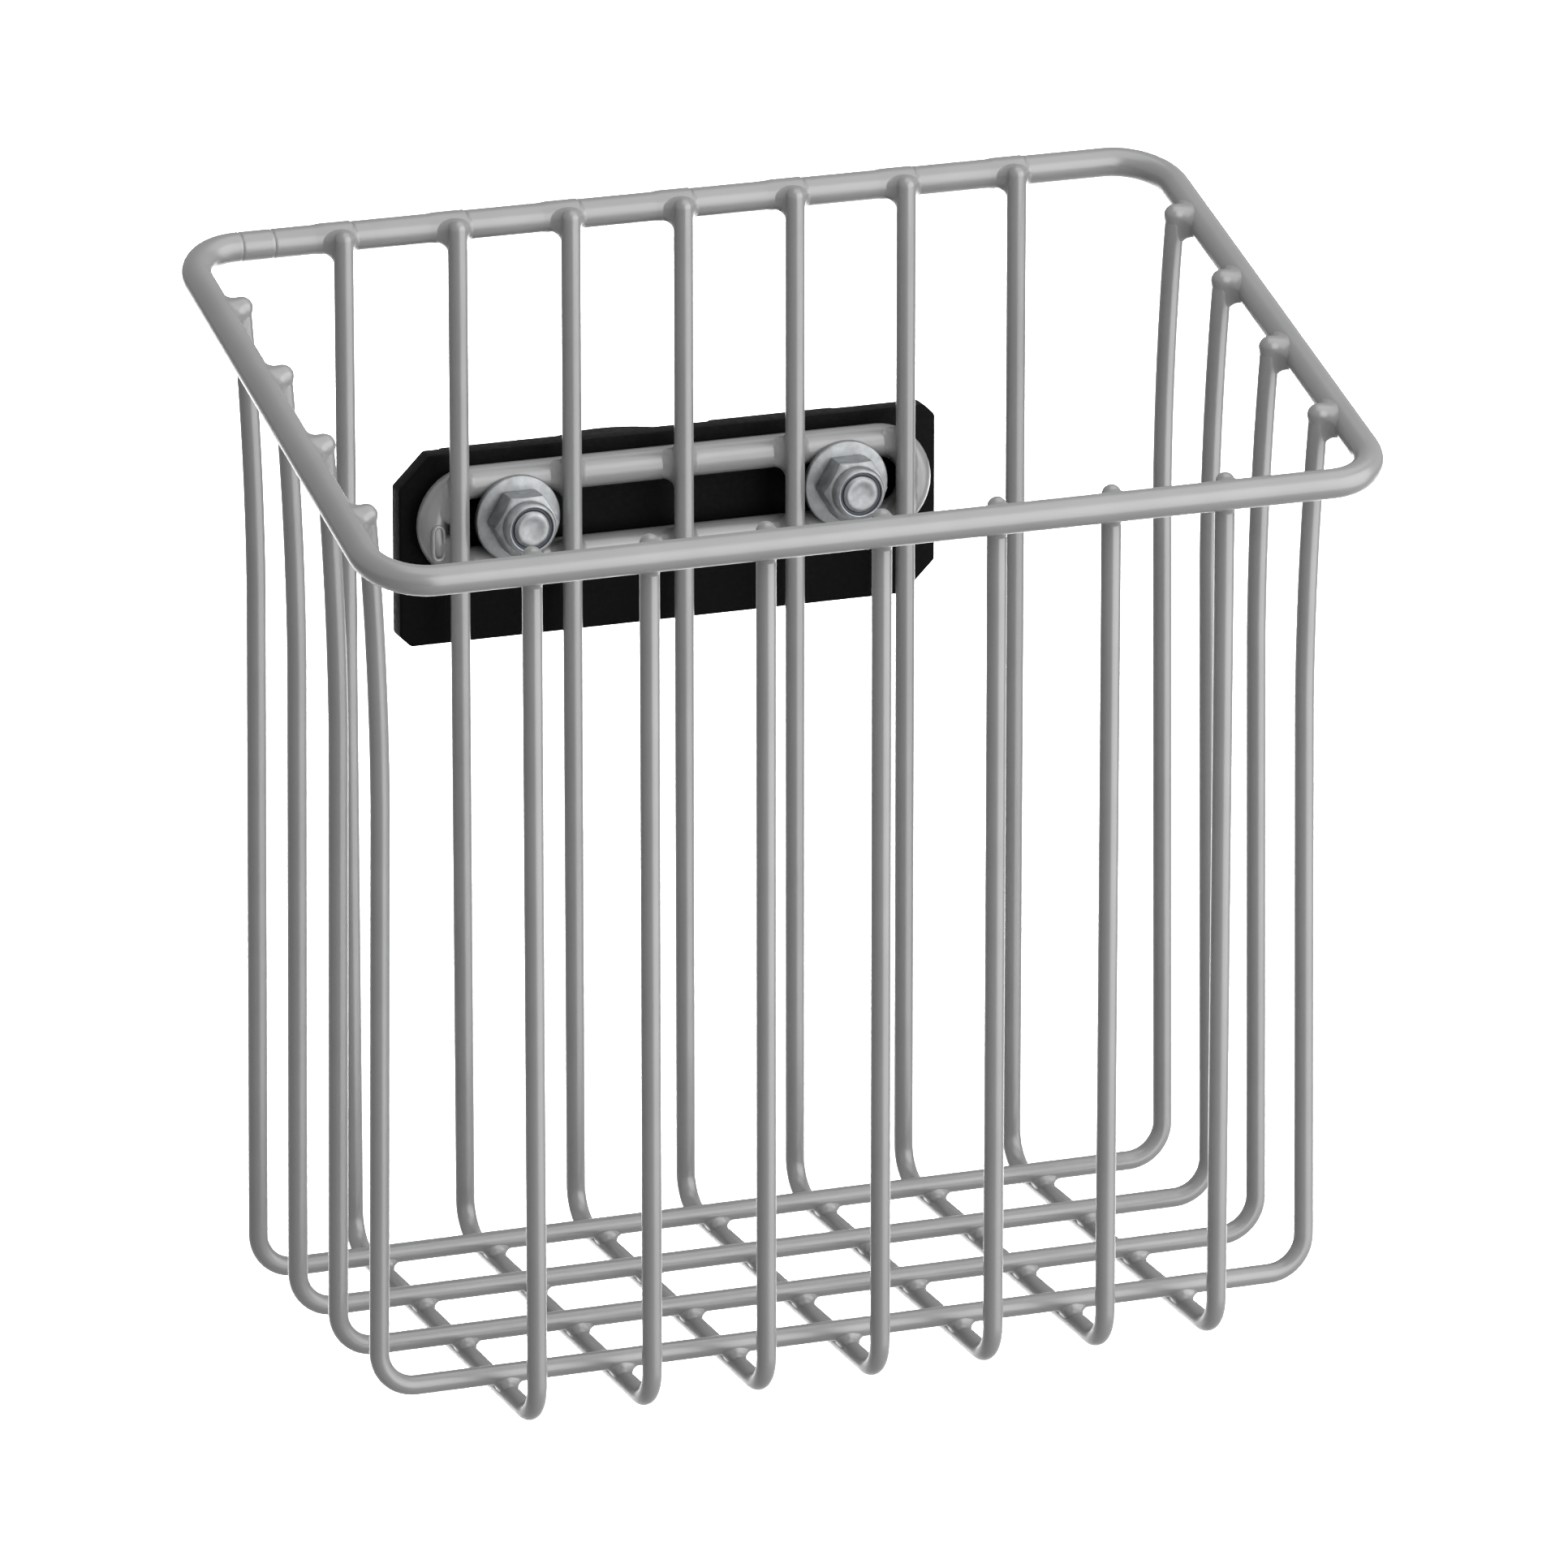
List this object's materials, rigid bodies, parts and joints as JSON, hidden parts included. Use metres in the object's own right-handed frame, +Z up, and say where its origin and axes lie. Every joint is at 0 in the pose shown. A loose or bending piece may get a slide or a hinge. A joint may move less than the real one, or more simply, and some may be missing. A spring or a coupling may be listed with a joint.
{
  "type": "blood pressure cuff basket",
  "caption": "Welded wire basket, open at the top, with a rim that slants down to the front, held at its back to an upright pole by a two-jaw bolted clamp.",
  "frame": {"origin": "on the axis of the clamp bore, at the mid height of the jaws", "axes": "+Z up along the pole, +Y from the basket to the back, so -Y is the basket's front, and +X to the right seen from the front"},
  "size_m": [0.2268, 0.1784, 0.2285],
  "materials": {
    "coated_steel": "warm grey satin powder coat",
    "zinc_steel": "bright zinc plate",
    "black_nylon": "matte black moulded nylon",
    "nylon_ring": "dark nylon",
    "brass": "plain turned brass",
    "black_oxide_steel": "black oxide steel"
  },
  "bodies": {
    "basket": {"rim_hoop": "coated_steel", "front_back_wire_1": "coated_steel", "front_back_wire_2": "coated_steel", "front_back_wire_3": "coated_steel", "front_back_wire_4": "coated_steel", "front_back_wire_5": "coated_steel", "front_back_wire_6": "coated_steel", "front_back_wire_7": "coated_steel", "side_wire_1": "coated_steel", "side_wire_2": "coated_steel", "side_wire_3": "coated_steel", "side_wire_4": "coated_steel", "mounting_loop": "coated_steel", "front_jaw": "black_nylon", "loop_bolts": "zinc_steel", "flat_washers": "zinc_steel", "lock_nuts": "zinc_steel", "nylon_rings": "nylon_ring", "threaded_inserts": "brass"},
    "back_jaw": {"rear_jaw": "black_nylon"},
    "left_screw": {"left_clamp_screw": "black_oxide_steel"},
    "right_screw": {"right_clamp_screw": "black_oxide_steel"}
  },
  "joints": [
    {"name": "jaw_release", "type": "slide", "parent": "basket", "child": "back_jaw", "axis": [0, 1, 0], "range_m": [0, 0.00762]},
    {"name": "left_screw_turn", "type": "hinge", "parent": "back_jaw", "child": "left_screw", "pos_m": [-0.0265, 0, 0], "axis": [0, 1, 0], "range_deg": [0, 2160]},
    {"name": "right_screw_turn", "type": "hinge", "parent": "back_jaw", "child": "right_screw", "pos_m": [0.0265, 0, 0], "axis": [0, 1, 0], "range_deg": [0, 2160]}
  ],
  "couplings": [
    {"joint": "left_screw_turn", "follows": "jaw_release", "rad_per_m": 4947.4},
    {"joint": "right_screw_turn", "follows": "jaw_release", "rad_per_m": 4947.4}
  ]
}
